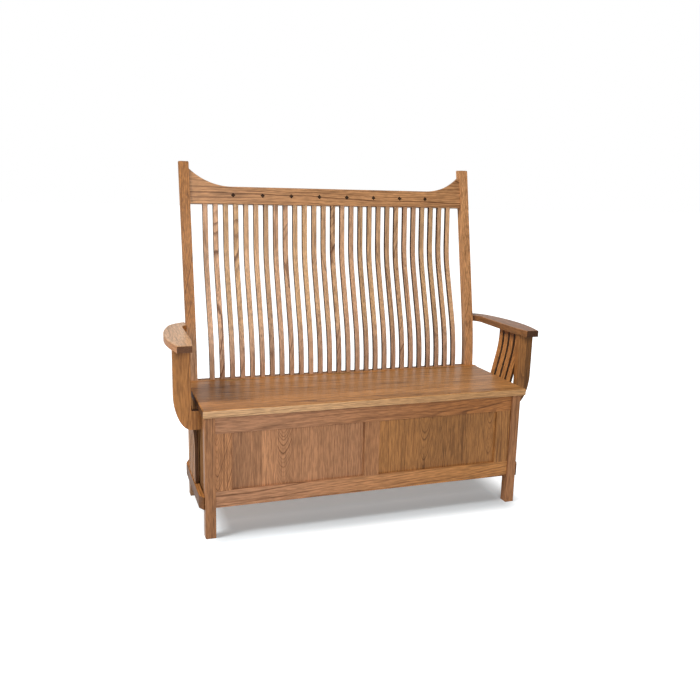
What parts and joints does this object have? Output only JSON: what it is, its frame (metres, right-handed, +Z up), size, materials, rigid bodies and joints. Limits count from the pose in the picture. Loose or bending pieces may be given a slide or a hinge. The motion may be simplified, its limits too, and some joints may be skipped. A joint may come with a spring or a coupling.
{
  "type": "settle",
  "caption": "High-backed mission settle with bent back slats, bowed arms on J-shaped supports, bent slats under the arms and a hinged seat lid over a panelled storage box",
  "frame": {"origin": "On the floor, under the middle of the bounding box", "axes": "+X runs along the settle to the right as seen from the front, the front faces -Y, +Z is up"},
  "size_m": [1.3908, 0.588, 1.258],
  "materials": {
    "oak_frame": "satin lacquer over medium brown oak",
    "oak_slats": "satin lacquer over medium brown oak",
    "oak_seat": "satin lacquer over medium brown oak",
    "oak_panels": "satin lacquer over medium brown oak",
    "oak_inside": "thin lacquer over plain oak",
    "peg_wood": "oiled dark wood",
    "hinge_brass": "satin"
  },
  "bodies": {
    "frame": {"arm_left": "oak_frame", "arm_right": "oak_frame", "arm_slats_left": "oak_slats", "arm_slats_right": "oak_slats", "arm_support_left": "oak_frame", "arm_support_right": "oak_frame", "back_panel": "oak_panels", "back_slat_01": "oak_slats", "back_slat_02": "oak_slats", "back_slat_03": "oak_slats", "back_slat_04": "oak_slats", "back_slat_05": "oak_slats", "back_slat_06": "oak_slats", "back_slat_07": "oak_slats", "back_slat_08": "oak_slats", "back_slat_09": "oak_slats", "back_slat_10": "oak_slats", "back_slat_11": "oak_slats", "back_slat_12": "oak_slats", "back_slat_13": "oak_slats", "back_slat_14": "oak_slats", "back_slat_15": "oak_slats", "back_slat_16": "oak_slats", "back_slat_17": "oak_slats", "back_slat_18": "oak_slats", "back_slat_19": "oak_slats", "back_slat_20": "oak_slats", "back_slat_21": "oak_slats", "back_slat_22": "oak_slats", "back_slat_23": "oak_slats", "back_slat_24": "oak_slats", "back_slat_25": "oak_slats", "back_slat_26": "oak_slats", "back_slat_27": "oak_slats", "box_floor": "oak_inside", "crest_pegs": "peg_wood", "crest_rail": "oak_frame", "floor_cleats_long": "oak_inside", "floor_cleats_side": "oak_inside", "front_bottom_rail": "oak_frame", "front_leg_left": "oak_frame", "front_leg_right": "oak_frame", "front_mid_stile": "oak_frame", "front_panel_left": "oak_panels", "front_panel_right": "oak_panels", "front_stile_left": "oak_frame", "front_stile_right": "oak_frame", "front_top_rail": "oak_frame", "hinge_leaves_rail": "hinge_brass", "hinge_pins": "hinge_brass", "rear_post_left": "oak_frame", "rear_post_right": "oak_frame", "seat_back_rail": "oak_seat", "side_panel_left": "oak_panels", "side_panel_right": "oak_panels", "side_stretcher_left": "oak_frame", "side_stretcher_right": "oak_frame"},
    "lid": {"seat_lid": "oak_seat", "hinge_leaves_lid": "hinge_brass"}
  },
  "joints": [
    {"name": "lid_hinge", "type": "hinge", "parent": "frame", "child": "lid", "pos_m": [0, 0.08871, 0.457], "axis": [-1, 0, 0], "range_deg": [0, 100]}
  ]
}
